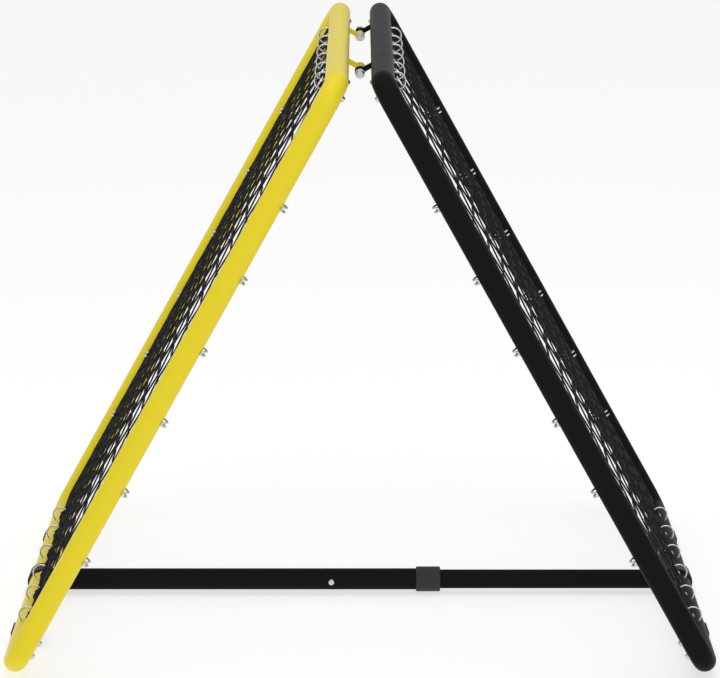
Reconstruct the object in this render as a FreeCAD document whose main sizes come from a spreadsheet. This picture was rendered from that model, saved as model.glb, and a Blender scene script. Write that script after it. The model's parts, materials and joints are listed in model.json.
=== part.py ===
import FreeCAD, Part
import os
import math
import Sketcher
from FreeCAD import Vector, Rotation, Placement, Matrix

# Double-sided folding ball rebounder, in millimetres.
# Two rectangular tube frames lean together and hinge at the top on an axis along Y.
# A telescopic bar joins the middles of their bottom rails and sets the spread.
# Origin: on the floor under the hinge axis, half way along it. +Z is up.

os.makedirs("parts", exist_ok=True)
doc = FreeCAD.newDocument("Rebounder")

sheet = doc.addObject("Spreadsheet::Sheet", "Sizes")
sheetSizes = [
    ("frame_width", 754),        # over the legs of one frame, along Y
    ("frame_length", 840),       # over the rails of one frame, along its slope
    ("tube_od", 28),
    ("tube_wall", 1.2),
    ("corner_radius", 28),       # centre line of the bent corners
    ("lean_angle", 29),          # each frame from the vertical, in degrees
    ("hinge_offset", 28),        # hinge axis behind the top rail's centre line
    ("hinge_rise", 6),           # hinge axis above it, up the slope
    ("pad_thickness", 5),        # rubber under the bottom rails
    ("pad_length", 42),
    ("pad_wall", 3),             # rubber beside the rail
    ("pad_centre", 210),         # each side of the middle
    ("insert_length", 46),
    ("screw_radius", 3.6),       # heads of the bracket screws
    ("screw_height", 2.2),
    ("corner_screw_radius", 4.6),
    ("corner_screw_height", 3),
    ("top_screw_place", 70),     # on the top rail, from the leg's centre line
    ("bottom_screw_place", 41),  # on the leg, from the bottom rail's centre line
    ("top_screw_turn", 35),      # on the bend, degrees round it from the leg
    ("bottom_screw_turn", 12),
    ("net_gap", 22),             # rail centre line to edge cord centre line
    ("cord_radius", 3),
    ("net_thickness", 4),
    ("cord_bend", 11),           # centre line of the cord at a corner
    ("net_rise", 3),             # cord and net edge above the rails' centre lines, playing side
    ("net_clearance", 9.2),      # edge cord to net, room for the hooks
    ("net_corner", 12),
    ("net_bulge", 9),            # middle of the net towards the playing side
    ("hook_wire", 2.4),
    ("hook_lift", 0.3),          # wire surface to tube surface
    ("bow_radius", 10.4),        # round part of a rail hook
    ("bow_reach", 22),           # its centre from the rail's, towards the net
    ("bow_height", 7.5),         # and towards the playing side
    ("top_pitch", 86),           # hooks along the top rails
    ("bottom_pitch", 92),        # and along the bottom rails
    ("clip_pitch", 99),          # along the legs
    ("clip_width", 6),           # between the two legs of a side hook
    ("clip_height", 4.6),
    ("lug_eye_radius", 6.5),
    ("lug_thickness", 6),
    ("lug_height", 6),
    ("black_lug_place", 187),    # middle of a black lug, each side of the middle
    ("yellow_lug_place", 151),
    ("sleeve_length", 16),       # outboard of the black lug
    ("sleeve_wall", 1.6),
    ("bolt_end", 10),            # thread showing past the nut
    ("bolt_radius", 3),
    ("bolt_clearance", 0.08),
    ("play", 0.3),               # side play of turning pieces
    ("head_radius", 5.25),
    ("head_height", 3.3),
    ("key_size", 4),             # hexagon key, across flats
    ("washer_radius", 6),
    ("washer_thickness", 1.2),
    ("nut_flats", 10),
    ("nut_height", 6),
    ("bar_od", 28),
    ("bar_wall", 1.2),
    ("slide_od", 25),            # inner tube of the bar
    ("slide_wall", 1.2),
    ("bar_length", 523),         # rail axis to the open end of the outer tube
    ("slide_length", 479),       # rail axis to the hidden end of the inner tube
    ("ring_wall", 3.4),
    ("ring_width", 30),
    ("ring_clearance", 0.06),
    ("spigot_length", 42),
    ("bracket_screw", 26),       # rail axis to bracket screw
    ("collar_od", 33),
    ("collar_length", 32),
    ("collar_lip", 4),
    ("plug_length", 8),
    ("button_reach", 458.9),     # black rail axis to snap button
    ("button_radius", 4),
    ("button_clearance", 0.25),
    ("button_proud", 3.6),
    ("button_flange", 5.4),
    ("spring_thickness", 0.6),
    ("spring_width", 6),
    ("spring_length", 34),
]
for row, (alias, value) in enumerate(sheetSizes, start=1):
    sheet.set("A%d" % row, alias)
    sheet.set("B%d" % row, str(value))
    sheet.setAlias("B%d" % row, alias)
doc.recompute()


def size(alias):
    return float(getattr(sheet, alias))


def cell(alias):
    return "Sizes." + alias


# Expressions that several pieces share.
tubeRadius = "Sizes.tube_od / 2"
boreRadius = "(Sizes.tube_od / 2 - Sizes.tube_wall)"
railSpacing = "(Sizes.frame_length - Sizes.tube_od)"
legPlace = "((Sizes.frame_width - Sizes.tube_od) / 2)"
lean = "(Sizes.lean_angle * 1 deg)"
railHeight = "(Sizes.pad_thickness + Sizes.tube_od / 2)"
slopeLength = "(%s + Sizes.hinge_rise)" % railSpacing
hingeHeight = ("(%s + %s * cos(%s) - Sizes.hinge_offset * sin(%s))"
               % (railHeight, slopeLength, lean, lean))
halfSpan = "(Sizes.hinge_offset * cos(%s) + %s * sin(%s))" % (lean, slopeLength, lean)
ringRadius = "(Sizes.tube_od / 2 + Sizes.ring_clearance + Sizes.ring_wall)"
slideBore = "(Sizes.slide_od / 2 - Sizes.slide_wall)"
barBore = "(Sizes.bar_od / 2 - Sizes.bar_wall)"

alongY = Rotation(Vector(1, 0, 0), -90)
alongX = Rotation(Vector(0, 1, 0), 90)
subParts = []


def bind(obj, **expressions):
    for name, expression in expressions.items():
        obj.setExpression(name.replace("__", "."), str(expression))
    return obj


def moveTo(obj, x=0, y=0, z=0, turn=None):
    if turn is not None:
        obj.Placement = Placement(Vector(0, 0, 0), turn)
    for axis, expression in (("x", x), ("y", y), ("z", z)):
        obj.setExpression("Placement.Base." + axis, "(%s) * 1 mm" % expression)
    return obj


def cylinder(radius, length, x=0, y=0, z=0, turn=None, name="Rod"):
    rod = doc.addObject("Part::Cylinder", name)
    bind(rod, Radius=radius, Height=length)
    return moveTo(rod, x, y, z, turn)


def box(length, width, height, x=0, y=0, z=0, turn=None):
    block = doc.addObject("Part::Box", "Block")
    bind(block, Length=length, Width=width, Height=height)
    return moveTo(block, x, y, z, turn)


def cut(base, tool, name="Cut"):
    result = doc.addObject("Part::Cut", name)
    result.Base = base
    result.Tool = tool
    return result


def fuse(pieces, name="Fusion"):
    result = doc.addObject("Part::MultiFuse", name)
    result.Shapes = pieces
    return result


def compound(pieces, name="Group"):
    result = doc.addObject("Part::Compound", name)
    result.Links = pieces
    return result


def finish(obj, label):
    obj.Label = label
    subParts.append(obj)
    return obj


def leanWith(obj, side):
    """Put a piece, drawn on the upright frame with the top rail at height zero, on its frame."""
    obj.Placement = Placement(Vector(0, 0, 0), Rotation(Vector(0, -side, 0), size("lean_angle")))
    obj.setExpression("Placement.Rotation.Angle", lean)
    obj.setExpression("Placement.Base.x", "%d * Sizes.hinge_rise * sin(%s) * 1 mm" % (side, lean))
    obj.setExpression("Placement.Base.z",
                      "(%s - Sizes.hinge_rise * cos(%s)) * 1 mm" % (hingeHeight, lean))
    return obj


def plane(body, role):
    for feature in body.Origin.OriginFeatures:
        if feature.Role == role:
            return feature


def sketchIn(body, role, name):
    sketch = body.newObject("Sketcher::SketchObject", name)
    sketch.AttachmentSupport = [(plane(body, role), "")]
    sketch.MapMode = "FlatFace"
    return sketch


def boundCircle(sketch, name, radius):
    index = sketch.addGeometry(Part.Circle(Vector(0, 0, 0), Vector(0, 0, 1), 5), False)
    sketch.addConstraint(Sketcher.Constraint("Coincident", index, 3, -1, 1))
    radiusIndex = sketch.addConstraint(Sketcher.Constraint("Radius", index, 5))
    sketch.renameConstraint(radiusIndex, name)
    sketch.setExpression("Constraints." + name, "(%s) * 1 mm" % radius)


def boundRectangle(sketch, name, width, height, drop):
    """Rectangle centred on the vertical axis, with its lower side the given drop below the origin."""
    corners = [Vector(-5, -5, 0), Vector(5, -5, 0), Vector(5, 5, 0), Vector(-5, 5, 0)]
    lines = [sketch.addGeometry(Part.LineSegment(corners[i], corners[(i + 1) % 4]), False)
             for i in range(4)]
    for i in range(4):
        sketch.addConstraint(Sketcher.Constraint("Coincident", lines[i], 2, lines[(i + 1) % 4], 1))
    for i, kind in ((1, "Vertical"), (2, "Horizontal"), (3, "Vertical")):
        sketch.addConstraint(Sketcher.Constraint(kind, lines[i]))
    sketch.addConstraint(Sketcher.Constraint("Symmetric", lines[0], 1, lines[0], 2, -2))
    lengths = (("Width", Sketcher.Constraint("Distance", lines[0], 10), width),
               ("Height", Sketcher.Constraint("Distance", lines[1], 10), height),
               ("Drop", Sketcher.Constraint("DistanceY", lines[0], 1, -1, 1, 5), drop))
    for suffix, constraint, expression in lengths:
        index = sketch.addConstraint(constraint)
        sketch.renameConstraint(index, name + suffix)
        sketch.setExpression("Constraints." + name + suffix, "(%s) * 1 mm" % expression)


def pad(body, sketch, length, middle=False):
    feature = body.newObject("PartDesign::Pad", "Pad")
    feature.Profile = sketch
    feature.setExpression("Length", "(%s) * 1 mm" % length)
    feature.Midplane = middle
    return feature


# ---------------------------------------------------------------- frame tubes
# Frame pieces are drawn upright: Z up the slope from the top rail's centre line, which lies
# at X = side * hinge_offset, so that X = 0 is level with the hinge axis.

def railX(side):
    return "%d * Sizes.hinge_offset" % side


def cordX(side):
    return "%d * (Sizes.hinge_offset + Sizes.net_rise)" % side


def tubeAlongY(z, side, name):
    length = "(Sizes.frame_width - Sizes.tube_od - 2 * Sizes.corner_radius)"
    start = "-(%s) / 2" % length
    outer = cylinder(tubeRadius, length, railX(side), start, z, alongY)
    inner = cylinder(boreRadius, length, railX(side), start, z, alongY)
    return cut(outer, inner, name)


def tubeAlongSlope(end, side, name):
    length = "(%s - 2 * Sizes.corner_radius)" % railSpacing
    bottom = "-(%s) + Sizes.corner_radius" % railSpacing
    y = "%d * %s" % (end, legPlace)
    outer = cylinder(tubeRadius, length, railX(side), y, bottom)
    inner = cylinder(boreRadius, length, railX(side), y, bottom)
    return cut(outer, inner, name)


def quarterRing(end, top, x, bend, tube, inset="0"):
    """Quarter torus in the frame's plane, inside one corner and tangent to both its sides."""
    y = "%d * (%s - %s - %s)" % (end, legPlace, inset, bend)
    if top:
        z = "-(%s) - %s" % (inset, bend)
        start = 0 if end > 0 else 90
    else:
        z = "-(%s) + %s + %s" % (railSpacing, inset, bend)
        start = 270 if end > 0 else 180
    ring = doc.addObject("Part::Torus", "Bend")
    bind(ring, Radius1=bend, Radius2=tube)
    ring.Angle1 = -180
    ring.Angle2 = 180
    ring.Angle3 = 90
    turn = Rotation(Vector(1, 1, 1), 120) * Rotation(Vector(0, 0, 1), start)
    return moveTo(ring, x, y, z, turn)


def cornerBend(end, top, side):
    outer = quarterRing(end, top, railX(side), "Sizes.corner_radius", tubeRadius)
    inner = quarterRing(end, top, railX(side), "Sizes.corner_radius", boreRadius)
    return cut(outer, inner)


def insert(end, top, side):
    """Short tube inside a leg and its bend, which holds the joint."""
    y = "%d * %s" % (end, legPlace)
    if top:
        z = "-Sizes.corner_radius - Sizes.insert_length"
    else:
        z = "-(%s) + Sizes.corner_radius" % railSpacing
    outer = cylinder(boreRadius, "Sizes.insert_length", railX(side), y, z)
    inner = cylinder("%s - Sizes.tube_wall" % boreRadius, "Sizes.insert_length", railX(side), y, z)
    return cut(outer, inner)


def screwHead(radius, height, x, y, z, turn):
    head = doc.addObject("Part::Cone", "ScrewHead")
    bind(head, Radius1=radius, Radius2="%s * 0.6" % radius, Height="%s + 1" % height)
    return moveTo(head, x, y, z, turn)


def cornerScrews(end, top, side):
    """Two domed screws on the back of one corner: one on the bend, one on the rail or the leg."""
    name = "top" if top else "bottom"
    railZ = "0" if top else "-(%s)" % railSpacing
    down = "-" if top else "+"
    turned = "(Sizes.%s_screw_turn * 1 deg)" % name
    bendY = "%d * (%s - Sizes.corner_radius * (1 - cos(%s)))" % (end, legPlace, turned)
    bendZ = "%s %s Sizes.corner_radius * (1 - sin(%s))" % (railZ, down, turned)
    bend = quarterRing(end, top, railX(side), "Sizes.corner_radius", tubeRadius)
    if top:
        otherY = "%d * (%s - Sizes.top_screw_place)" % (end, legPlace)
        otherZ = railZ
        tube = cylinder(tubeRadius, "2 * %s" % legPlace, railX(side), "-(%s)" % legPlace, railZ,
                        alongY)
    else:
        otherY = "%d * %s" % (end, legPlace)
        otherZ = "%s + Sizes.bottom_screw_place" % railZ
        tube = cylinder(tubeRadius, railSpacing, railX(side), otherY, "-(%s)" % railSpacing)
    x = "%d * (Sizes.hinge_offset - Sizes.tube_od / 2 + 1)" % side
    turn = Rotation(Vector(0, 1, 0), -90 * side)
    screws = []
    for y, z, seat in ((bendY, bendZ, bend), (otherY, otherZ, tube)):
        head = screwHead("Sizes.corner_screw_radius", "Sizes.corner_screw_height", x, y, z, turn)
        screws.append(cut(head, seat))
    return screws


def frameTubes(side, colour):
    rail = tubeAlongY("0", side, "TopRail")
    finish(leanWith(rail, side), colour + "_top_rail")
    rail = tubeAlongY("-(%s)" % railSpacing, side, "BottomRail")
    finish(leanWith(rail, side), colour + "_bottom_rail")
    for end, name in ((-1, "front"), (1, "rear")):
        leg = tubeAlongSlope(end, side, "Leg")
        finish(leanWith(leg, side), "%s_leg_%s" % (colour, name))
    corners = [(end, top) for end in (-1, 1) for top in (True, False)]
    bends = [cornerBend(end, top, side) for end, top in corners]
    finish(leanWith(compound(bends), side), colour + "_corner_bends")
    inserts = [insert(end, top, side) for end, top in corners]
    finish(leanWith(compound(inserts), side), colour + "_joint_inserts")
    screws = []
    for end, top in corners:
        screws += cornerScrews(end, top, side)
    finish(leanWith(compound(screws), side), colour + "_corner_screws")


# ---------------------------------------------------------------- net and its edge cord

def netPanel(side, colour):
    """Thin sheet with rounded corners, an arc across its width that bulges to the playing side."""
    body = doc.addObject("PartDesign::Body", "NetBody")
    sketch = sketchIn(body, "YZ_Plane", "NetOutline")
    inset = "2 * (Sizes.net_gap + Sizes.cord_radius + Sizes.net_clearance)"
    width = "(Sizes.frame_width - Sizes.tube_od - %s)" % inset
    height = "%s - %s" % (railSpacing, inset)
    boundRectangle(sketch, "net", width, height, "%s - %s / 2" % (railSpacing, inset))
    feature = pad(body, sketch, "4 * Sizes.net_bulge + 4 * Sizes.net_thickness", middle=True)
    doc.recompute()
    edges = []
    for number, edge in enumerate(feature.Shape.Edges, start=1):
        direction = edge.tangentAt(edge.FirstParameter)
        if abs(direction.x) > 0.99:
            edges.append("Edge%d" % number)
    rounding = body.newObject("PartDesign::Fillet", "NetCorners")
    rounding.Base = (feature, edges)
    rounding.setExpression("Radius", "Sizes.net_corner * 1 mm")
    body.setExpression("Placement.Base.x", "%s * 1 mm" % cordX(side))
    arcRadius = "(%s ^ 2 / (8 * Sizes.net_bulge) + Sizes.net_bulge / 2)" % width
    x = "%s + %d * (Sizes.net_bulge - %s)" % (cordX(side), side, arcRadius)
    outer = cylinder(arcRadius + " + Sizes.net_thickness / 2", railSpacing, x, 0,
                     "-(%s)" % railSpacing)
    inner = cylinder(arcRadius + " - Sizes.net_thickness / 2", railSpacing, x, 0,
                     "-(%s)" % railSpacing)
    panel = doc.addObject("Part::Common", "NetPanel")
    panel.Base = body
    panel.Tool = cut(outer, inner)
    finish(leanWith(panel, side), colour + "_net")


def edgeCord(side, colour):
    """Closed loop of cord: four straight runs and four quarter bends, one inside each corner."""
    reachY = "(%s - Sizes.net_gap)" % legPlace
    top = "-Sizes.net_gap"
    bottom = "(-(%s) + Sizes.net_gap)" % railSpacing
    bend = "Sizes.cord_bend"
    runs = []
    for z in (top, bottom):
        runs.append(cylinder("Sizes.cord_radius", "2 * (%s - %s)" % (reachY, bend), cordX(side),
                             "-(%s - %s)" % (reachY, bend), z, alongY))
    for end in (-1, 1):
        runs.append(cylinder("Sizes.cord_radius", "%s - %s - 2 * %s" % (top, bottom, bend),
                             cordX(side), "%d * %s" % (end, reachY), "%s + %s" % (bottom, bend)))
        for isTop in (True, False):
            runs.append(quarterRing(end, isTop, cordX(side), bend, "Sizes.cord_radius",
                                    "Sizes.net_gap"))
    finish(leanWith(fuse(runs), side), colour + "_edge_cord")


# ---------------------------------------------------------------- wire hooks
# Each hook is one bent wire. Its path is worked out in three directions: towards the net,
# towards the playing side, and along the tube, all from the tube's centre line.

def roundedPath(points, radius):
    """Straight runs through the points, joined by tangent arcs no larger than the runs allow."""
    edges = []
    start = points[0]
    for before, corner, after in zip(points, points[1:], points[2:]):
        back = (before - corner).normalize()
        ahead = (after - corner).normalize()
        half = math.acos(max(-1.0, min(1.0, back.dot(ahead)))) / 2
        room = 0.49 * min((before - corner).Length, (after - corner).Length)
        setback = min(room, radius / math.tan(half))
        arcRadius = setback * math.tan(half)
        centre = corner + (back + ahead).normalize() * (arcRadius / math.sin(half))
        middle = centre + (corner - centre).normalize() * arcRadius
        arcStart = corner + back * setback
        arcEnd = corner + ahead * setback
        edges.append(Part.LineSegment(start, arcStart).toShape())
        edges.append(Part.Arc(arcStart, middle, arcEnd).toShape())
        start = arcEnd
    edges.append(Part.LineSegment(start, points[-1]).toShape())
    return Part.Wire(edges)


def wireAlong(points, radius):
    path = roundedPath(points, radius)
    ends = path.Edges[0]
    direction = ends.tangentAt(ends.FirstParameter)
    circle = Part.Wire([Part.makeCircle(size("hook_wire") / 2, points[0], direction)])
    return path.makePipeShell([circle], True, False)


def onTube(degrees, along=0.0, lift=0.0):
    """Point of a wire's centre that lies on the tube; 0 faces the net, 90 the playing side."""
    reach = size("tube_od") / 2 + size("hook_wire") / 2 + size("hook_lift") + lift
    angle = math.radians(degrees)
    return Vector(reach * math.cos(angle), reach * math.sin(angle), along)


def arcPoints(centre, reach, start, stop):
    """Points on an arc, close enough together for a smooth wire, from start to stop degrees."""
    steps = max(1, round(abs(stop - start) / 25))
    angles = [math.radians(start + (stop - start) * i / steps) for i in range(steps + 1)]
    return [centre + Vector(reach * math.cos(a), reach * math.sin(a), 0) for a in angles]


def aroundCord(start, stop, along=0.0):
    """Points of a wire's centre round the edge cord, close enough to stay off it."""
    reach = size("cord_radius") + size("hook_wire") / 2 + size("hook_lift") + 0.1
    return arcPoints(Vector(size("net_gap"), size("net_rise"), along), reach, start, stop)


def railHookPoints():
    """A round bow from the tube over the playing side to the net side, then a curl round the cord."""
    centre = Vector(size("bow_reach"), size("bow_height"), 0)
    return arcPoints(centre, size("bow_radius"), 166, -30) + aroundCord(-45, -290)


def sideHookPoints():
    """Two legs from the cord round the back of the leg tube, each with a bow that stands proud."""
    half = size("clip_width") / 2
    proud = size("clip_height")
    oneLeg = aroundCord(120, -60, half) + [
        onTube(-26, half), onTube(-48, half), onTube(-68, half, proud * 0.7),
        onTube(-86, half, proud), onTube(-104, half, proud * 0.7), onTube(-118, half * 0.8, 0.2)]
    return oneLeg + [Vector(p.x, p.y, -p.z) for p in reversed(oneLeg)]


def hookGroup(shape, places, side, label):
    """Copies of one hook; each place gives the tube centre and the direction to the net."""
    hooks = []
    for y, z, inward in places:
        toNet = Vector(0, inward[0], inward[1])
        toPlay = Vector(side, 0, 0)
        along = toNet.cross(toPlay)
        centre = Vector(side * size("hinge_offset"), y, z)
        frameMatrix = Matrix(toNet.x, toPlay.x, along.x, centre.x,
                             toNet.y, toPlay.y, along.y, centre.y,
                             toNet.z, toPlay.z, along.z, centre.z,
                             0, 0, 0, 1)
        hook = shape.copy()
        hook.Placement = Placement(frameMatrix)
        hooks.append(hook)
    group = doc.addObject("Part::Feature", "Hooks")
    group.Shape = Part.makeCompound(hooks)
    finish(leanWith(group, side), label)


def frameHooks(side, colour):
    spacing = size("frame_length") - size("tube_od")
    legY = (size("frame_width") - size("tube_od")) / 2
    topRow = [size("top_pitch") * step for step in (-2.5, -1.5, -0.5, 0.5, 1.5, 2.5)]
    bottomRow = [size("bottom_pitch") * step for step in (-2.5, -1.5, -0.5, 0.5, 1.5, 2.5)]
    legRow = [size("clip_pitch") * step - spacing / 2 for step in (-2.5, -1.5, -0.5, 0.5, 1.5, 2.5)]
    railHook = wireAlong(railHookPoints(), 4)
    hookGroup(railHook, [(y, 0, (0, -1)) for y in topRow], side, colour + "_top_hooks")
    hookGroup(railHook, [(y, -spacing, (0, 1)) for y in bottomRow], side,
              colour + "_bottom_hooks")
    hookGroup(wireAlong(sideHookPoints(), 2.4),
              [(end * legY, z, (-end, 0)) for end in (-1, 1) for z in legRow], side,
              colour + "_side_hooks")


# ---------------------------------------------------------------- hinge

def hingeLugs(side, colour):
    """Flat eyes on arms welded to the back of the top rail, one near each end."""
    lugs = []
    for end in (-1, 1):
        start = "%d * Sizes.%s_lug_place - Sizes.lug_thickness / 2" % (end, colour)
        eye = cylinder("Sizes.lug_eye_radius", "Sizes.lug_thickness", 0, start,
                       "Sizes.hinge_rise", alongY)
        arm = box("Sizes.hinge_offset", "Sizes.lug_thickness", "Sizes.lug_height",
                  "0" if side > 0 else "-Sizes.hinge_offset", start,
                  "Sizes.hinge_rise - Sizes.lug_height / 2")
        hole = cylinder("Sizes.bolt_radius + Sizes.bolt_clearance", "Sizes.lug_thickness",
                        0, start, "Sizes.hinge_rise", alongY)
        rail = cylinder(tubeRadius, "Sizes.lug_thickness", railX(side), start, 0, alongY)
        lugs.append(cut(cut(fuse([eye, arm]), hole), rail))
    finish(leanWith(compound(lugs), side), colour + "_hinge_lugs")


def atHinge(pieces, label):
    group = compound(pieces)
    group.setExpression("Placement.Base.z", "%s * 1 mm" % hingeHeight)
    finish(group, label)


def hexagon(flats, height, y, turn):
    prism = doc.addObject("Part::Prism", "Hexagon")
    prism.Polygon = 6
    bind(prism, Circumradius="(%s) / sqrt(3)" % flats, Height=height)
    return moveTo(prism, 0, y, 0, turn)


def hingeBolts():
    """Each bolt from outboard: head, washer, sleeve, black lug, sleeve, yellow lug, washer, nut."""
    half = "Sizes.lug_thickness / 2"
    blackOuter = "(Sizes.black_lug_place + %s)" % half
    sleeveOuter = "(%s + Sizes.play + Sizes.sleeve_length)" % blackOuter
    headStart = "(%s + Sizes.washer_thickness)" % sleeveOuter
    yellowInner = "(Sizes.yellow_lug_place - %s)" % half
    yellowOuter = "(Sizes.yellow_lug_place + %s)" % half
    nutFace = "(%s - Sizes.washer_thickness)" % yellowInner
    tipPlace = "(%s - Sizes.nut_height - Sizes.bolt_end)" % nutFace
    innerSleeve = "(Sizes.black_lug_place - %s - Sizes.play - %s)" % (half, yellowOuter)
    boltHole = "Sizes.bolt_radius + Sizes.bolt_clearance"
    bolts = []
    washers = []
    nuts = []
    sleeves = []
    for end in (-1, 1):
        outward = Rotation(Vector(1, 0, 0), -90 * end)
        shank = cylinder("Sizes.bolt_radius", "%s - %s" % (headStart, tipPlace), 0,
                         "%d * %s" % (end, tipPlace), 0, outward)
        head = doc.addObject("Part::Cone", "BoltHead")
        bind(head, Radius1="Sizes.head_radius", Radius2="Sizes.head_radius * 0.68",
             Height="Sizes.head_height")
        moveTo(head, 0, "%d * %s" % (end, headStart), 0, outward)
        key = hexagon("Sizes.key_size", "Sizes.head_height",
                      "%d * (%s + Sizes.head_height * 0.4)" % (end, headStart), outward)
        bolts.append(cut(fuse([shank, head]), key))
        for start in (sleeveOuter, nutFace):
            disc = cylinder("Sizes.washer_radius", "Sizes.washer_thickness", 0,
                            "%d * %s" % (end, start), 0, outward)
            hole = cylinder(boltHole, "Sizes.washer_thickness", 0, "%d * %s" % (end, start), 0,
                            outward)
            washers.append(cut(disc, hole))
        nutStart = "%d * (%s - Sizes.nut_height)" % (end, nutFace)
        blank = hexagon("Sizes.nut_flats", "Sizes.nut_height * 0.72",
                        "%d * (%s - Sizes.nut_height * 0.72)" % (end, nutFace), outward)
        crown = cylinder("Sizes.nut_flats * 0.46", "Sizes.nut_height", 0, nutStart, 0, outward)
        thread = cylinder("Sizes.bolt_radius", "Sizes.nut_height", 0, nutStart, 0, outward)
        nuts.append(cut(fuse([blank, crown]), thread))
        for start, length in (("%s + Sizes.play" % blackOuter, "Sizes.sleeve_length"),
                              (yellowOuter, innerSleeve)):
            place = "%d * (%s)" % (end, start)
            sleeve = cylinder("Sizes.bolt_radius + Sizes.sleeve_wall", length, 0, place, 0, outward)
            bore = cylinder(boltHole, length, 0, place, 0, outward)
            sleeves.append(cut(sleeve, bore))
    atHinge(bolts, "hinge_bolts")
    atHinge(washers, "hinge_washers")
    atHinge(nuts, "hinge_lock_nuts")
    atHinge(sleeves, "hinge_sleeves")


# ---------------------------------------------------------------- feet

def footPads(side, colour):
    """Rubber saddles under a bottom rail, with a flat foot level with the floor."""
    pads = []
    for end in (-1, 1):
        body = doc.addObject("PartDesign::Body", "FootPad")
        sketch = sketchIn(body, "XZ_Plane", "PadSection")
        boundRectangle(sketch, "pad", "Sizes.tube_od + 2 * Sizes.pad_wall",
                       "Sizes.pad_thickness + Sizes.tube_od * 0.5",
                       "Sizes.pad_thickness + Sizes.tube_od / 2")
        block = pad(body, sketch, "Sizes.pad_length", middle=True)
        doc.recompute()
        lower = []
        for number, edge in enumerate(block.Shape.Edges, start=1):
            direction = edge.tangentAt(edge.FirstParameter)
            if abs(direction.y) > 0.99 and edge.CenterOfMass.z < block.Shape.CenterOfMass.z:
                lower.append("Edge%d" % number)
        rounding = body.newObject("PartDesign::Fillet", "PadRounding")
        rounding.Base = (block, lower)
        rounding.setExpression("Radius", "Sizes.pad_thickness * 1.4 * 1 mm")
        moveTo(body, "%d * %s" % (side, halfSpan), "%d * Sizes.pad_centre" % end, railHeight)
        rail = cylinder(tubeRadius, "Sizes.pad_length", "%d * %s" % (side, halfSpan),
                        "%d * Sizes.pad_centre - Sizes.pad_length / 2" % end, railHeight, alongY)
        pads.append(cut(body, rail))
    finish(compound(pads), colour + "_foot_pads")


# ---------------------------------------------------------------- telescopic bar
# Drawn in place: both rail axes stand at rail height, half a span each side of the middle.

def endBracket(side, bore, label):
    """Ring that turns on a bottom rail, with a spigot inside the end of its bar tube."""
    x = "%d * %s" % (side, halfSpan)
    start = "-Sizes.ring_width / 2"
    ring = cylinder(ringRadius, "Sizes.ring_width", x, start, railHeight, alongY)
    reach = "(%s + Sizes.spigot_length)" % ringRadius
    spigotX = "-%s" % halfSpan if side < 0 else "%s - %s" % (halfSpan, reach)
    spigot = cylinder(bore, reach, spigotX, 0, railHeight, alongX)
    rail = cylinder("%s + Sizes.ring_clearance" % tubeRadius, "Sizes.ring_width", x, start,
                    railHeight, alongY)
    finish(cut(fuse([ring, spigot]), rail), label)


def barTube(side, od, wall, length, label):
    """Tube from a rail axis inwards, its end shaped to the bracket ring, with the button hole."""
    startX = "-%s" % halfSpan if side < 0 else "%s - %s" % (halfSpan, length)
    outer = cylinder(od + " / 2", length, startX, 0, railHeight, alongX)
    inner = cylinder("%s / 2 - %s" % (od, wall), length, startX, 0, railHeight, alongX)
    ring = cylinder(ringRadius, "Sizes.ring_width * 1.5", "%d * %s" % (side, halfSpan),
                    "-Sizes.ring_width * 0.75", railHeight, alongY)
    hole = cylinder("Sizes.button_radius + Sizes.button_clearance", od,
                    "%s - Sizes.button_reach" % halfSpan, "-" + od, railHeight, alongY)
    finish(cut(cut(cut(outer, inner), ring), hole), label)


def bracketScrew(side, od, label):
    x = "%d * (%s - Sizes.bracket_screw)" % (side, halfSpan)
    head = screwHead("Sizes.screw_radius", "Sizes.screw_height", x, 0,
                     "%s + %s / 2 - 1" % (railHeight, od), None)
    seat = cylinder(od + " / 2", "4 * Sizes.screw_radius", "%s - 2 * Sizes.screw_radius" % x, 0,
                    railHeight, alongX)
    finish(cut(head, seat), label)


def collar():
    """Plastic guide pushed over the open end of the outer tube; its lip guides the inner tube."""
    body = doc.addObject("PartDesign::Body", "Collar")
    sketch = sketchIn(body, "YZ_Plane", "CollarRing")
    boundCircle(sketch, "outer", "Sizes.collar_od / 2")
    boundCircle(sketch, "inner", "Sizes.slide_od / 2 + Sizes.play")
    ring = pad(body, sketch, "Sizes.collar_length")
    doc.recompute()
    rims = []
    for number, edge in enumerate(ring.Shape.Edges, start=1):
        if edge.Closed and abs(edge.Curve.Radius - size("collar_od") / 2) < 0.01:
            rims.append("Edge%d" % number)
    rounding = body.newObject("PartDesign::Fillet", "CollarRims")
    rounding.Base = (ring, rims)
    rounding.Radius = 1.6
    start = "(-%s + Sizes.bar_length - Sizes.collar_length + Sizes.collar_lip)" % halfSpan
    moveTo(body, start, 0, railHeight)
    seat = cylinder("Sizes.bar_od / 2", "Sizes.collar_length - Sizes.collar_lip", start, 0,
                    railHeight, alongX)
    finish(cut(body, seat), "bar_collar")


def slidePlug():
    body = doc.addObject("PartDesign::Body", "Plug")
    sketch = sketchIn(body, "YZ_Plane", "PlugDisc")
    boundCircle(sketch, "disc", slideBore)
    pad(body, sketch, "Sizes.plug_length")
    moveTo(body, "%s - Sizes.slide_length" % halfSpan, 0, railHeight)
    finish(body, "slide_tube_plug")


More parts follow.
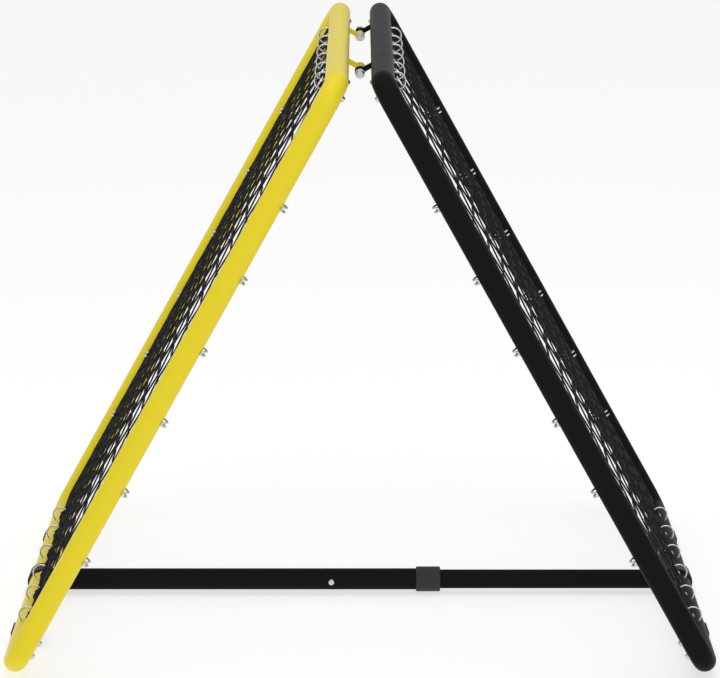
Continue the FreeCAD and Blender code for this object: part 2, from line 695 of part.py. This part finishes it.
def snapButton():
    """Domed button that stands through both tubes towards -Y, with a flange inside."""
    x = "%s - Sizes.button_reach" % halfSpan
    tip = "(Sizes.bar_od / 2 + Sizes.button_proud)"
    root = "(%s * 0.82)" % slideBore
    outward = Rotation(Vector(1, 0, 0), 90)
    stem = cylinder("Sizes.button_radius", "%s - %s - 1.6" % (tip, root), x, "-" + root,
                    railHeight, outward)
    dome = doc.addObject("Part::Cone", "ButtonDome")
    bind(dome, Radius1="Sizes.button_radius", Radius2="Sizes.button_radius * 0.55")
    dome.Height = 1.6
    moveTo(dome, x, "-(%s - 1.6)" % tip, railHeight, outward)
    flange = cylinder("Sizes.button_flange", "1", x, "-%s + 1" % root, railHeight, outward)
    finish(fuse([stem, dome, flange]), "snap_button")


def buttonSpring():
    """Bent strip inside the inner tube: one leaf under the button, one on the far wall."""
    reach = size("slide_od") / 2 - size("slide_wall")
    thick = size("spring_thickness")
    length = size("spring_length")
    near = -0.82 * reach + 1 + thick / 2 + 0.1
    far = 0.9 * reach
    points = [Vector(-6, near, 0), Vector(8, near, 0), Vector(length - 6, far * 0.5, 0),
              Vector(length, far * 0.72, 0), Vector(length - 5, far, 0), Vector(-2, far, 0)]
    path = roundedPath(points, 2.5)
    wide = size("spring_width") / 2
    corners = [Vector(-6, near - thick / 2, -wide), Vector(-6, near + thick / 2, -wide),
               Vector(-6, near + thick / 2, wide), Vector(-6, near - thick / 2, wide)]
    profile = Part.makePolygon(corners + corners[:1])
    strip = doc.addObject("Part::Feature", "ButtonSpring")
    strip.Shape = path.makePipeShell([profile], True, False)
    moveTo(strip, "%s - Sizes.button_reach" % halfSpan, 0, railHeight)
    finish(strip, "button_spring")


for side, colour in ((-1, "yellow"), (1, "black")):
    frameTubes(side, colour)
    netPanel(side, colour)
    edgeCord(side, colour)
    frameHooks(side, colour)
    hingeLugs(side, colour)
    footPads(side, colour)
hingeBolts()
endBracket(-1, barBore, "yellow_bar_bracket")
endBracket(1, slideBore, "black_bar_bracket")
barTube(-1, "Sizes.bar_od", "Sizes.bar_wall", "Sizes.bar_length", "bar_outer_tube")
barTube(1, "Sizes.slide_od", "Sizes.slide_wall", "Sizes.slide_length", "bar_inner_tube")
bracketScrew(-1, "Sizes.bar_od", "yellow_bracket_screw")
bracketScrew(1, "Sizes.slide_od", "black_bracket_screw")
collar()
slidePlug()
snapButton()
buttonSpring()

doc.recompute()
for obj in doc.Objects:
    if "Invalid" in obj.State or "Error" in obj.State:
        raise RuntimeError("%s (%s) failed: %s" % (obj.Name, obj.Label, obj.State))
for obj in subParts:
    if obj.Shape.isNull() or not obj.Shape.isValid():
        raise RuntimeError("%s has no valid shape" % obj.Label)
for obj in subParts:
    obj.Shape.exportStep("parts/%s.step" % obj.Label)
    bounds = obj.Shape.BoundBox
    print("%-22s solids %2d volume %9.0f  x %7.1f %7.1f  y %7.1f %7.1f  z %6.1f %6.1f"
          % (obj.Label, len(obj.Shape.Solids), obj.Shape.Volume, bounds.XMin, bounds.XMax,
             bounds.YMin, bounds.YMax, bounds.ZMin, bounds.ZMax))
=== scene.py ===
import json
import math
import bpy
import numpy as np
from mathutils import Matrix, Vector


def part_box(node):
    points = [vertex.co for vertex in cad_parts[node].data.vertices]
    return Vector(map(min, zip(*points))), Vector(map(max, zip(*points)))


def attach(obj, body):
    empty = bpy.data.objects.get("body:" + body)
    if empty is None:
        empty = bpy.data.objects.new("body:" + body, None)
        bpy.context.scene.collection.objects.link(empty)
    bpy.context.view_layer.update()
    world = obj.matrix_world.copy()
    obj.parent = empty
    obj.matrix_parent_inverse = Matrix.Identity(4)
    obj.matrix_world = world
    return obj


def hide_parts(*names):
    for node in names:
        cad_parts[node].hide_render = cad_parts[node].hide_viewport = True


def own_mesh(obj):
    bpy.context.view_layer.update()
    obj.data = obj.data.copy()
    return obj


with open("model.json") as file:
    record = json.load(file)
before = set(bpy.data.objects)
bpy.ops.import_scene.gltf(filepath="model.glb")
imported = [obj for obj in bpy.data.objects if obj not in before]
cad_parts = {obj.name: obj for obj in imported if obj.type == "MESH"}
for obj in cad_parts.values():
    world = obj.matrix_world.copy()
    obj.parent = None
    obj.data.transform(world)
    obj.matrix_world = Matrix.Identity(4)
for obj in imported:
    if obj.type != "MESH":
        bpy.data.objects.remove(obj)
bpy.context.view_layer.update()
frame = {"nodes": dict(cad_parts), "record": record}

nodes = frame["nodes"]
print("frame loaded:", len(nodes), "nodes")


# One socket of a node tree, so that shader maths reads as ordinary expressions.
class Sock:
    def __init__(self, tree, socket):
        self.tree = tree
        self.socket = socket

    def math(self, operation, *others):
        return build(self.tree, "ShaderNodeMath", {"operation": operation},
                     {i: v for i, v in enumerate((self,) + others)})

    def __add__(self, other):
        return self.math("ADD", other)

    def __radd__(self, other):
        return self.math("ADD", other)

    def __sub__(self, other):
        return self.math("SUBTRACT", other)

    def __rsub__(self, other):
        return build(self.tree, "ShaderNodeMath", {"operation": "SUBTRACT"},
                     {0: other, 1: self})

    def __mul__(self, other):
        return self.math("MULTIPLY", other)

    def __rmul__(self, other):
        return self.math("MULTIPLY", other)

    def step(self, low, high):    # 0 below low, 1 above high, smooth between
        return build(self.tree, "ShaderNodeMapRange", {"interpolation_type": "SMOOTHSTEP"},
                     {0: self, 1: low, 2: high})

    def mix(self, low, high):    # two colours, by this value
        return build(self.tree, "ShaderNodeMix", {"data_type": "RGBA"},
                     {"Factor": self, 6: low, 7: high}, output=2)


# Adds a node: its settings first, then the values or links of its sockets.
def build(tree, kind, settings, sockets, output=0):
    node = tree.nodes.new(kind)
    for name, value in settings.items():
        setattr(node, name, value)
    for name, value in sockets.items():
        socket = node.inputs[name]
        if isinstance(value, Sock):
            tree.links.new(value.socket, socket)
        else:
            socket.default_value = value
    return Sock(tree, node.outputs[output])


def rgb(r, g, b):
    return (r, g, b, 1.0)


# A material: constants go straight on the shader's sockets, and surface(tree, place) gives
# what varies.
def material(name, constants, surface):
    mat = bpy.data.materials.new(name)
    mat.use_nodes = True
    tree = mat.node_tree
    tree.nodes.clear()
    shader = tree.nodes.new("ShaderNodeBsdfPrincipled")
    for socket, value in constants.items():
        shader.inputs[socket].default_value = value
    place = build(tree, "ShaderNodeTexCoord", {}, {}, output=3)
    for socket, value in surface(tree, place).items():
        tree.links.new(value.socket, shader.inputs[socket])
    out = tree.nodes.new("ShaderNodeOutputMaterial")
    tree.links.new(shader.outputs[0], out.inputs[0])
    return mat


def noise(tree, place, scale, detail=3.0, roughness=0.5):
    return build(tree, "ShaderNodeTexNoise", {},
                 {"Vector": place, "Scale": scale, "Detail": detail, "Roughness": roughness})


def bump(tree, height, strength, distance):
    return build(tree, "ShaderNodeBump", {},
                 {"Height": height, "Strength": strength, "Distance": distance})


paint = {"grain": 900.0, "wave": 26.0, "waveShare": 0.6, "marks": 60.0, "tone": 9.0,
         "bump": 0.25, "depth": 0.0004, "worn": 0.25, "uneven": 0.2, "dull": 0.12, "dry": 0.05}


# Powder coat: height = fine grain + 0.6 of a slow wave; colour and gloss move with handling marks.
def paintSurface(colour, worn, rough):
    def surface(tree, place):
        peel = noise(tree, place, paint["grain"], 2.0)
        wave = noise(tree, place, paint["wave"], 2.0)
        marks = noise(tree, place, paint["marks"], 5.0, 0.65).step(0.55, 0.75)
        tone = noise(tree, place, paint["tone"], 2.0)
        coat = bump(tree, peel + wave * paint["waveShare"], paint["bump"], paint["depth"])
        shade = marks * paint["worn"] + tone * paint["uneven"]
        return {"Base Color": shade.mix(colour, worn),
                "Roughness": marks * paint["dull"] + peel * paint["dry"] + rough,
                "Normal": coat}
    return surface


plating = {"cloud": 300.0, "fine": 2500.0, "dull": 0.2, "rough": 0.16, "bump": 0.15,
           "depth": 0.0002}


# Bright zinc: fine even noise for height; small clouds set the colour and the gloss.
def zincSurface(tree, place):
    cloud = noise(tree, place, plating["cloud"], 4.0)
    fine = noise(tree, place, plating["fine"], 2.0)
    return {"Base Color": cloud.mix(rgb(0.50, 0.50, 0.50), rgb(0.78, 0.78, 0.77)),
            "Roughness": cloud * plating["dull"] + plating["rough"],
            "Normal": bump(tree, fine, plating["bump"], plating["depth"])}


moulding = {"grain": 1400.0, "cloud": 45.0, "dull": 0.14, "bump": 0.25, "depth": 0.0003}


# Moulded plastic: a fine leathery grain and slightly uneven gloss.
def plasticSurface(low, high, rough):
    def surface(tree, place):
        grain = build(tree, "ShaderNodeTexVoronoi", {},
                      {"Vector": place, "Scale": moulding["grain"]})
        cloud = noise(tree, place, moulding["cloud"], 4.0)
        return {"Base Color": cloud.mix(low, high),
                "Roughness": cloud * moulding["dull"] + rough,
                "Normal": bump(tree, grain, moulding["bump"], moulding["depth"])}
    return surface


padding = {"dust": 70.0, "grain": 1500.0, "dull": 0.15, "rough": 0.62, "bump": 0.35,
           "depth": 0.0004}


# Rubber: dusty tone and a coarse matt grain.
def rubberSurface(tree, place):
    dust = noise(tree, place, padding["dust"], 6.0, 0.7)
    grain = noise(tree, place, padding["grain"], 3.0)
    return {"Base Color": dust.mix(rgb(0.016, 0.016, 0.016), rgb(0.04, 0.04, 0.038)),
            "Roughness": dust * padding["dull"] + padding["rough"],
            "Normal": bump(tree, grain, padding["bump"], padding["depth"])}


twine = {"strands": 3, "fibre": 1600.0, "dull": 0.2, "rough": 0.55, "fibreShare": 0.4,
         "bump": 0.6, "depth": 0.0006}


# Cord: height = half a sine of (distance along * twist + turn round) * strands, plus a half,
# with fine fibres over it. Distance and turn come from the piece's own UV map.
def cordSurface(darkToneAndShade, paleToneAndGlint, twist):
    def surface(tree, place):
        uv = build(tree, "ShaderNodeTexCoord", {}, {}, output=2)
        parts = tree.nodes.new("ShaderNodeSeparateXYZ")
        tree.links.new(uv.socket, parts.inputs[0])
        along = Sock(tree, parts.outputs[0])
        around = Sock(tree, parts.outputs[1])
        phase = (along * twist + around) * (2 * math.pi * twine["strands"])
        strand = phase.math("SINE") * 0.5 + 0.5
        fibre = noise(tree, place, twine["fibre"], 3.0)
        # Colour is half the strand height and half the fibre noise. The pale strand crowns are a
        # painted highlight (glints), and the dark grooves between strands are painted shade. The
        # fibre half is the cord's own tone.
        return {"Base Color": (strand * 0.5 + fibre * 0.5).mix(darkToneAndShade, paleToneAndGlint),
                "Roughness": fibre * twine["dull"] + twine["rough"],
                "Normal": bump(tree, strand + fibre * twine["fibreShare"], twine["bump"],
                               twine["depth"])}
    return surface


yellowCoat = material("yellowCoat", {"Specular IOR Level": 0.24},
                      paintSurface(rgb(0.81, 0.655, 0.014), rgb(0.87, 0.72, 0.04), 0.32))
blackCoat = material("blackCoat", {"IOR": 1.08},
                     paintSurface(rgb(0.0088, 0.0090, 0.0093), rgb(0.014, 0.014, 0.0145), 0.36))
zinc = material("zincPlate", {"Metallic": 1.0}, zincSurface)
blackPlastic = material("blackPlastic", {"Specular IOR Level": 0.25},
                        plasticSurface(rgb(0.010, 0.010, 0.011), rgb(0.018, 0.018, 0.019), 0.42))
greyPlastic = material("greyPlastic", {"Specular IOR Level": 0.25},
                       plasticSurface(rgb(0.022, 0.024, 0.024), rgb(0.034, 0.036, 0.036), 0.48))
rubber = material("padRubber", {"Specular IOR Level": 0.3}, rubberSurface)
netYarn = material("netYarn", {"Specular IOR Level": 0.15},
                   cordSurface(rgb(0.005, 0.0055, 0.005), rgb(0.018, 0.019, 0.017), 120.0))
edgeYarn = material("edgeYarn", {"Specular IOR Level": 0.15},
                    cordSurface(rgb(0.004, 0.004, 0.004), rgb(0.016, 0.016, 0.0155), 60.0))

coats = {"yellow_paint": yellowCoat, "black_paint": blackCoat, "zinc": zinc,
         "black_plastic": blackPlastic, "grey_plastic": greyPlastic, "black_rubber": rubber,
         "net_cord": netYarn, "spring_steel": zinc}
slotOf = {entry["node"]: entry["material_slot"] for entry in frame["record"]["subparts"]}
for name, obj in nodes.items():
    obj.data.materials.clear()
    obj.data.materials.append(coats[slotOf[name]])
    obj.data.polygons.foreach_set("material_index", np.zeros(len(obj.data.polygons), np.int32))
print("materials set on CAD nodes")


def meshObject(name, points, faces, mat, uvs=None, smooth=True):
    mesh = bpy.data.meshes.new(name)
    mesh.from_pydata(points.tolist(), [], [list(face) for face in faces])
    if smooth:
        mesh.polygons.foreach_set("use_smooth", np.ones(len(mesh.polygons), bool))
    if uvs is not None:
        layer = mesh.uv_layers.new(name="UVMap")
        loops = np.zeros(len(mesh.loops), np.int32)
        mesh.loops.foreach_get("vertex_index", loops)
        layer.data.foreach_set("uv", uvs[loops].astype(np.float32).ravel())
    mesh.materials.append(mat)
    mesh.update()
    obj = bpy.data.objects.new(name, mesh)
    bpy.context.scene.collection.objects.link(obj)
    return obj


# Tubes round many paths at once; paths is (paths, points, 3). The first normal is the tangent
# crossed with guide, the second is the tangent crossed with the first.
# Ring point = path point + radius * (cos a * first normal + sin a * second normal).
# The ends of a path that isn't closed are left open.
def tubesAlong(paths, radius, sides, guide, closed=False):
    count, length, _ = paths.shape
    if closed:
        tangent = np.roll(paths, -1, 1) - np.roll(paths, 1, 1)
    else:
        tangent = np.gradient(paths, axis=1)
    tangent /= np.linalg.norm(tangent, axis=2, keepdims=True)
    first = np.cross(tangent, np.broadcast_to(np.asarray(guide), tangent.shape))
    first /= np.linalg.norm(first, axis=2, keepdims=True)
    second = np.cross(tangent, first)
    angle = np.arange(sides) * 2 * np.pi / sides
    ring = (np.cos(angle)[:, None] * first[:, :, None]
            + np.sin(angle)[:, None] * second[:, :, None])
    points = (paths[:, :, None] + radius * ring).reshape(-1, 3)
    step = np.linalg.norm(np.diff(paths, axis=1), axis=2)
    run = np.concatenate([np.zeros((count, 1)), np.cumsum(step, 1)], 1)
    grid = (count, length, sides)
    uvs = np.stack([np.broadcast_to(run[:, :, None], grid),
                    np.broadcast_to(angle / (2 * np.pi), grid)], 3).reshape(-1, 2)
    rows = length if closed else length - 1
    p, i, j = np.meshgrid(np.arange(count), np.arange(rows), np.arange(sides), indexing="ij")
    base = p * length * sides
    here = base + i * sides
    after = base + ((i + 1) % length) * sides
    faces = np.stack([here + j, here + (j + 1) % sides, after + (j + 1) % sides, after + j], 3)
    return points, faces.reshape(-1, 4), uvs


def joinMeshes(parts):
    points, faces, uvs, offset = [], [], [], 0
    for p, f, u in parts:
        points.append(p)
        faces.append(f + offset)
        uvs.append(u)
        offset += len(p)
    return np.concatenate(points), np.concatenate(faces), np.concatenate(uvs)


# The frame of one net: u across (along Y), v down the slope from the top rail, w to the playing
# side. All of it comes from the boxes of the rails and legs.
def netFrame(colour, side):
    topLow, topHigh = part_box(colour + "_top_rail")
    botLow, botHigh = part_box(colour + "_bottom_rail")
    legLow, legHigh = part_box(colour + "_leg_rear")
    top = np.array([(topLow.x + topHigh.x) / 2, 0.0, (topLow.z + topHigh.z) / 2])
    bottom = np.array([(botLow.x + botHigh.x) / 2, 0.0, (botLow.z + botHigh.z) / 2])
    down = bottom - top
    length = np.linalg.norm(down)
    down /= length
    out = np.array([-down[2] * side, 0.0, down[0] * side])
    return {"top": top, "down": down, "out": out, "length": length,
            "half": (legLow.y + legHigh.y) / 2}


# Point = top + v * down + w * out + u * Y.
def place(net, u, v, w):
    return (net["top"] + v[..., None] * net["down"] + w[..., None] * net["out"]
            + u[..., None] * np.array([0.0, 1.0, 0.0]))


netting = {"cells": 17, "rows": 20, "yarn": 0.00125, "rise": 0.0025, "stretch": 0.2,
           "sides": 6, "perCell": 4, "bulge": 0.009, "flat": 6, "inset": 0.0235,
           "scallop": 0.0022, "round": 0.8, "fade": 2, "railPitch": 0.090, "legPitch": 0.099,
           "jitter": 0.0003, "weave": 0.6}


# Height of the net = bulge * (1 - (u / half)^2) * (1 - (2 v / length - 1)^6).
def netBulge(net, u, v):
    across = 1 - (u / net["half"]) ** 2
    along = 1 - (2 * v / net["length"] - 1) ** netting["flat"]
    return netting["bulge"] * across * along


# The net's edge runs in scallops: depth = scallop * |sin(pi * distance / pitch)|^0.8.
def scallop(distance, pitch):
    return netting["scallop"] * np.abs(np.sin(np.pi * distance / pitch)) ** netting["round"]


# A square mesh of yarns. Knots stand at a * (1 - stretch * (1 - a^2)) across, with a even from
# -1 to 1, and evenly down the slope; each is moved a little at random.
def netPiece(colour, side):
    net = netFrame(colour, side)
    width = net["half"] - netting["inset"]
    topV, botV = netting["inset"], net["length"] - netting["inset"]
    seed = np.random.default_rng(7 if side > 0 else 8)
    knotGrid = (netting["rows"] + 1, netting["cells"] + 1)
    jitterU = seed.normal(0, netting["jitter"], knotGrid)
    jitterV = seed.normal(0, netting["jitter"], knotGrid)
    gridA = np.linspace(-1, 1, netting["cells"] + 1)
    gridA = gridA * (1 - netting["stretch"] * (1 - gridA ** 2))
    gridB = np.linspace(0, 1, netting["rows"] + 1)
    a, b = np.meshgrid(gridA, gridB)
    u = a * width + jitterU
    v = topV + b * (botV - topV) + jitterV
    # the scallops pull the border in, and fade over two cells
    nearSide = np.clip(1 - (1 - np.abs(a)) * netting["cells"] / (2 * netting["fade"]), 0, 1)
    nearRail = np.clip(1 - np.minimum(b, 1 - b) * netting["rows"] / netting["fade"], 0, 1)
    middle = v - net["length"] / 2
    u -= np.sign(a) * nearSide * scallop(middle, netting["legPitch"])
    v += np.where(b < 0.5, 1, -1) * nearRail * scallop(u, netting["railPitch"])

    # each yarn runs straight from knot to knot, lifted by weave * yarn * cos(pi * t), so that it
    # passes over and under in turn
    def yarn(lineU, lineV, phase):
        steps = netting["perCell"]
        count, knots = lineU.shape
        t = np.linspace(0, knots - 1, (knots - 1) * steps + 1)
        k = np.minimum(t.astype(int), knots - 2)
        f = t - k
        uu = lineU[:, k] * (1 - f) + lineU[:, k + 1] * f
        vv = lineV[:, k] * (1 - f) + lineV[:, k + 1] * f
        lift = (netting["yarn"] * netting["weave"] * np.cos(np.pi * t)[None, :]
                * phase[:, None])
        return place(net, uu, vv, netting["rise"] + netBulge(net, uu, vv) + lift)

    down = yarn(u.T, v.T, np.where(np.arange(netting["cells"] + 1) % 2, 1.0, -1.0))
    over = yarn(u, v, np.where(np.arange(netting["rows"] + 1) % 2, -1.0, 1.0))
    points, faces, uvs = joinMeshes([tubesAlong(lines, netting["yarn"], netting["sides"],
                                                net["out"]) for lines in (down, over)])
    piece = meshObject(colour + "NetYarn", points, faces, netYarn, uvs)
    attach(piece, colour + "_frame")
    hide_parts(colour + "_net")
    return net


edging = {"radius": 0.0026, "sides": 10, "points": 900, "gap": 0.022, "dip": 0.0012,
          "bend": 0.011, "fade": 0.03}


# Edge rope: a rounded rectangle inside the tubes, moved towards the net by
# dip * sin(pi * distance from the side's middle / pitch)^2, which fades out near the corners.
def edgePiece(colour, net):
    half = net["half"] - edging["gap"]
    length = net["length"] - 2 * edging["gap"]
    bend = edging["bend"]
    straightU, straightV, arc = 2 * (half - bend), length - 2 * bend, bend * math.pi / 2
    total = 2 * (straightU + straightV) + 4 * arc
    s = np.arange(edging["points"]) / edging["points"] * total
    u, v = np.zeros_like(s), np.zeros_like(s)
    dipU, dipV = np.zeros_like(s), np.zeros_like(s)
    start = 0.0
    # four sides in turn, each a straight and then a quarter turn
    turns = ((1, 0, 0, 1, straightU, (-half + bend, 0)),
             (0, 1, -1, 0, straightV, (half, bend)),
             (-1, 0, 0, -1, straightU, (half - bend, length)),
             (0, -1, 1, 0, straightV, (-half, length - bend)))
    for du, dv, nu, nv, run, first in turns:
        corner = np.array(first)
        on = (s >= start) & (s < start + run)
        u[on] = corner[0] + du * (s[on] - start)
        v[on] = corner[1] + dv * (s[on] - start)
        pitch = netting["railPitch"] if du else netting["legPitch"]
        middle = (s[on] - start) - run / 2
        fade = np.clip(np.minimum(s[on] - start, start + run - s[on]) / edging["fade"], 0, 1)
        amount = edging["dip"] * np.sin(np.pi * middle / pitch) ** 2 * fade
        dipU[on], dipV[on] = nu * amount, nv * amount
        turn = (s >= start + run) & (s < start + run + arc)
        angle = (s[turn] - start - run) / bend
        centre = corner + np.array([du, dv]) * run + np.array([nu, nv]) * bend
        u[turn] = centre[0] - nu * bend * np.cos(angle) + du * bend * np.sin(angle)
        v[turn] = centre[1] - nv * bend * np.cos(angle) + dv * bend * np.sin(angle)
        start += run + arc
    path = place(net, u + dipU, v + dipV + edging["gap"], np.full_like(u, netting["rise"]))
    points, faces, uvs = tubesAlong(path[None], edging["radius"], edging["sides"], net["out"],
                                    closed=True)
    piece = meshObject(colour + "EdgeRope", points, faces, edgeYarn, uvs)
    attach(piece, colour + "_frame")
    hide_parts(colour + "_edge_cord")


wraps = {"turns": 2.4, "points": 40, "cord": 0.0016, "reach": 0.0040, "length": 0.0080,
         "beside": 0.0066, "sides": 8, "hooks": 6, "topPitch": 0.086, "bottomPitch": 0.092,
         "ends": 0.0016}


# Whippings of thin cord on the rope, one each side of every rail hook. Each is a helix:
# reach * (cos a, sin a) round the rope, climbing evenly along it, with less reach at its ends.
def wrapPiece(colour, net):
    t = np.linspace(0, 1, wraps["points"])
    angle = 2 * np.pi * wraps["turns"] * t
    reach = wraps["reach"] - wraps["ends"] * np.abs(2 * t - 1) ** 6
    paths = []
    for pitch, v in ((wraps["topPitch"], edging["gap"]),
                     (wraps["bottomPitch"], net["length"] - edging["gap"])):
        for step in np.arange(wraps["hooks"]) - (wraps["hooks"] - 1) / 2:
            for beside in (-1, 1):
                middle = pitch * step + beside * wraps["beside"]
                along = middle + (t - 0.5) * wraps["length"]
                turned = angle + step + beside
                paths.append(place(net, along, v + reach * np.cos(turned),
                                   netting["rise"] + reach * np.sin(turned)))
    points, faces, uvs = tubesAlong(np.array(paths), wraps["cord"], wraps["sides"],
                                    (0.0, 1.0, 0.0))
    piece = meshObject(colour + "RopeWraps", points, faces, edgeYarn, uvs)
    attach(piece, colour + "_frame")


for colour, side in (("yellow", -1), ("black", 1)):
    net = netPiece(colour, side)
    edgePiece(colour, net)
    wrapPiece(colour, net)
print("nets and edge ropes made")

button = {"stem": 0.0040, "flange": 0.0054, "rim": 0.0010, "round": 0.0018, "draw": 0.42,
          "around": 40, "caps": 12, "keep": 0.4}


# Snap button: a profile turned about the Y axis. Flange, stem, then a quarter of an ellipse that
# draws the radius in by 0.42 of itself, and a flat tip.
# Point = centre + radius * (cos a along X, sin a along Z), at the profile's own depth along Y.
def buttonPiece():
    low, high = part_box("snap_button")
    x, z = (low.x + high.x) / 2, (low.z + high.z) / 2
    q = np.linspace(0, np.pi / 2, button["caps"])
    radius = np.concatenate([[0.0, button["flange"], button["flange"], button["stem"]],
                             button["stem"] * (1 - button["draw"] * (1 - np.cos(q)))[:-1],
                             [0.0]])
    depth = np.concatenate([[high.y, high.y, high.y - button["rim"], high.y - button["rim"]],
                            (low.y + button["round"] * (1 - np.sin(q)))[:-1], [low.y]])
    angle = np.arange(button["around"]) * 2 * np.pi / button["around"]
    rings, around = len(radius) - 2, button["around"]
    wide, deep = radius[1:-1, None], depth[1:-1, None]    # the first and last are the poles
    ring = np.stack([x + wide * np.cos(angle), np.repeat(deep, around, 1),
                     z + wide * np.sin(angle)], 2).reshape(-1, 3)
    points = np.concatenate([ring, [[x, high.y, z], [x, low.y, z]]])
    i, j = np.meshgrid(np.arange(rings - 1), np.arange(around), indexing="ij")
    a, b = i * around + j, i * around + (j + 1) % around
    quads = np.stack([a, a + around, b + around, b], 2).reshape(-1, 4)
    j = np.arange(around)
    k = (j + 1) % around
    foot = np.full(around, rings * around)
    last = (rings - 1) * around
    ends = np.concatenate([np.stack([foot, j, k], 1), np.stack([foot + 1, last + k, last + j], 1)])
    piece = meshObject("snapButtonDome", points, [*quads.tolist(), *ends.tolist()], zinc)
    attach(piece, "button")
    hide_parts("snap_button")
    # drawn into the inner tube while the bar slides
    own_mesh(piece)


buttonPiece()
print("snap button made")

studio = {"sensor": 36.0, "lens": 160.73, "distance": 4.0822, "height": 1.2632,
          "down": 12.684, "far": 100.0, "floor": 30.0, "world": 0.65, "glow": 0.63,
          "lights": (("overhead", (0.0, -0.6, 3.4), (0.0, 0.0, 0.4), (3.0, 2.0), 30.0),
                     ("frontFill", (0.6, -3.6, 1.6), (0.0, 0.0, 0.4), (2.4, 1.6), 12.0))}


# Floor: one grey that drifts very slowly, with a glow of its own.
def floorSurface(tree, place):
    drift = noise(tree, place, 0.5)
    return {"Base Color": drift.mix(rgb(0.44, 0.44, 0.44), rgb(0.46, 0.46, 0.46))}


floorMat = material("floorWhite", {"Roughness": 0.9, "Specular IOR Level": 0.05,
                                   "Emission Color": rgb(1.0, 1.0, 1.0),
                                   "Emission Strength": studio["glow"]}, floorSurface)
reach = studio["floor"]
corners = np.array([(-reach, -reach, 0), (reach, -reach, 0), (reach, reach, 0),
                    (-reach, reach, 0)], float)
floor = meshObject("floor", corners, np.array([[0, 1, 2, 3]]), floorMat, smooth=False)

world = bpy.data.worlds.new("studio")
world.use_nodes = True
background = world.node_tree.nodes["Background"]
background.inputs[0].default_value = rgb(1.0, 1.0, 1.0)
background.inputs[1].default_value = studio["world"]
bpy.context.scene.world = world
bpy.context.scene.view_settings.view_transform = "Standard"


def areaLight(name, place, target, size, power):
    light = bpy.data.lights.new(name, "AREA")
    light.shape = "RECTANGLE"
    light.size, light.size_y = size
    light.energy = power
    obj = bpy.data.objects.new(name, light)
    obj.location = place
    obj.rotation_euler = (Vector(target) - Vector(place)).to_track_quat("-Z", "Y").to_euler()
    bpy.context.scene.collection.objects.link(obj)


for light in studio["lights"]:
    areaLight(*light)

camera = bpy.data.cameras.new("camera")
camera.sensor_width = studio["sensor"]
camera.lens = studio["lens"]
camera.clip_end = studio["far"]
cameraObject = bpy.data.objects.new("camera", camera)
cameraObject.location = (0.0, -studio["distance"], studio["height"])
cameraObject.rotation_euler = (math.radians(90.0 - studio["down"]), 0.0, 0.0)
bpy.context.scene.collection.objects.link(cameraObject)
bpy.context.scene.camera = cameraObject
print("studio ready")
